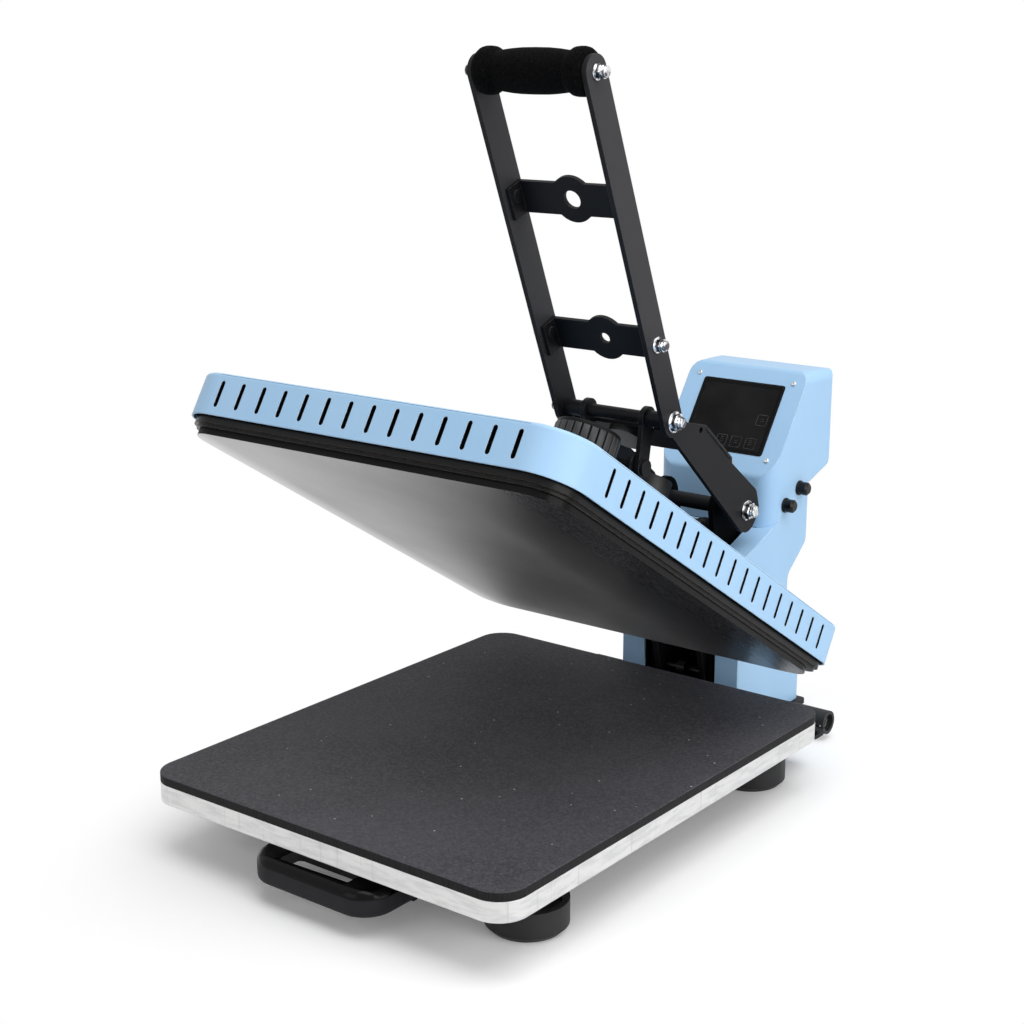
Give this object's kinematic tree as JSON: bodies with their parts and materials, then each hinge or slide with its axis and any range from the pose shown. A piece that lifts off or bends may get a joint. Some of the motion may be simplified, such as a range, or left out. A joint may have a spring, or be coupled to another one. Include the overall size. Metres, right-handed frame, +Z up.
{
  "type": "flat heat press",
  "caption": "Clamshell heat press standing open: slide-out lower plate with silicone pad, tilting slotted upper platen, long lever handle, rear column and sloping control box.",
  "frame": {"origin": "on the bench, under the middle of the whole press as it stands open", "axes": "+X across the press to the right seen from the front, +Y to the rear, +Z up"},
  "size_m": [0.42, 0.7583, 0.7084],
  "materials": {
    "rubber": "matte black moulded rubber",
    "blue_paint": "light blue powder coat, fine texture",
    "black_paint": "satin black powder coat",
    "black_plastic": "satin black moulded plastic",
    "blue_plastic": "light blue painted moulding",
    "screen": "dark glossy screen",
    "zinc": "bright zinc plate",
    "chrome": "bright chrome plate",
    "steel": "plain turned steel",
    "aluminium": "machined aluminium",
    "silicone": "dark silicone sheet with fine pale specks",
    "blanket": "ceramic fibre blanket",
    "foam": "closed-cell black foam",
    "orange": "orange moulded plastic",
    "keeper": "bright ground steel"
  },
  "bodies": {
    "base": {"rubber_feet": "rubber", "base_rails": "black_paint", "rail_end_caps": "black_plastic", "cross_members": "black_paint", "rear_beam": "black_paint", "base_plate": "black_paint", "column_cover": "blue_paint", "column_liner": "black_paint", "uprights": "black_paint", "hinge_pin": "steel", "lower_shaft": "zinc", "lower_shaft_spacers": "black_paint", "lower_shaft_nuts": "zinc", "strut_bracket": "black_paint", "stabiliser_tube": "steel", "stabiliser_shoes": "rubber", "control_box": "blue_plastic", "touch_screen": "screen", "panel_screws": "zinc", "fuse_holders": "black_plastic", "power_inlet": "black_plastic", "slide_rails_fixed": "zinc"},
    "drawer": {"slide_rails_moving": "zinc", "carriage": "black_paint", "aluminium_plate": "aluminium", "silicone_pad": "silicone", "pull_handle": "black_plastic"},
    "arm": {"arm_plates": "black_paint", "crosshead": "black_paint", "guide_block": "black_paint", "arm_ties": "black_paint", "arm_cross_pins": "zinc", "holding_magnet": "steel", "magnet_bracket": "black_paint", "conduit": "black_plastic"},
    "platen": {"platen_cover": "blue_paint", "heat_plate": "aluminium", "heater_tray": "black_paint", "insulation_blanket": "blanket", "backing_plate": "steel", "platen_mount": "black_paint", "mount_bolts": "zinc", "guide_rod": "steel"},
    "screw": {"pressure_screw": "zinc", "pressure_knob": "black_plastic"},
    "handle": {"handle_side_plates": "black_paint", "cross_strap_lower": "black_paint", "cross_strap_upper": "black_paint", "grip_tube": "zinc", "foam_grip": "foam", "upper_shaft": "black_paint", "upper_shaft_collars": "black_paint", "handle_nuts": "chrome", "keeper_web": "black_paint", "keeper_disc": "keeper", "limit_switch": "orange"},
    "links": {"hook_links": "black_paint"},
    "strut_tube": {"strut_cylinder": "black_paint"},
    "strut_piston": {"strut_rod": "chrome"},
    "rocker": {"rocker_switch": "black_plastic"}
  },
  "joints": [
    {"name": "drawer_slide", "type": "slide", "parent": "base", "child": "drawer", "axis": [0, -1, 0], "range_m": [0, 0.28]},
    {"name": "arm_hinge", "type": "hinge", "parent": "base", "child": "arm", "pos_m": [0, 0.195, 0.133], "axis": [1, 0, 0], "range_deg": [0, 31.7], "stiffness_Nm_per_rad": 130, "springref_deg": -65.89},
    {"name": "platen_lift", "type": "slide", "parent": "arm", "child": "platen", "axis": [0, 0.5255, 0.8508], "range_m": [0, 0.01]},
    {"name": "knob_turn", "type": "hinge", "parent": "arm", "child": "screw", "pos_m": [0, 0.00729, 0.32768], "axis": [0, 0.5255, 0.8508], "range_deg": [0, 1440]},
    {"name": "handle_swing", "type": "hinge", "parent": "base", "child": "handle", "pos_m": [0, 0.2125, 0.2445], "axis": [1, 0, 0], "range_deg": [0, 40.74]},
    {"name": "link_swing", "type": "hinge", "parent": "handle", "child": "links", "pos_m": [0, 0.07, 0.36081], "axis": [1, 0, 0], "range_deg": [-91.63, 0]},
    {"name": "strut_swing", "type": "hinge", "parent": "base", "child": "strut_tube", "pos_m": [0, 0.308, 0.024], "axis": [1, 0, 0], "range_deg": [-19.94, 0]},
    {"name": "strut_slide", "type": "slide", "parent": "strut_tube", "child": "strut_piston", "axis": [0, -0.942, 0.3357], "range_m": [-0.02368, 0]},
    {"name": "rocker_turn", "type": "hinge", "parent": "base", "child": "rocker", "pos_m": [0.036, 0.374, 0.33], "axis": [1, 0, 0], "range_deg": [-8, 0]}
  ],
  "couplings": [
    {"joint": "knob_turn", "follows": "platen_lift", "rad_per_m": 2513.3},
    {"joint": "handle_swing", "follows": "arm_hinge", "ratio": 1.2848},
    {"joint": "link_swing", "follows": "arm_hinge", "ratio": -2.89},
    {"joint": "strut_swing", "follows": "arm_hinge", "ratio": -0.62859},
    {"joint": "strut_slide", "follows": "arm_hinge", "m_per_rad": -0.042783}
  ]
}
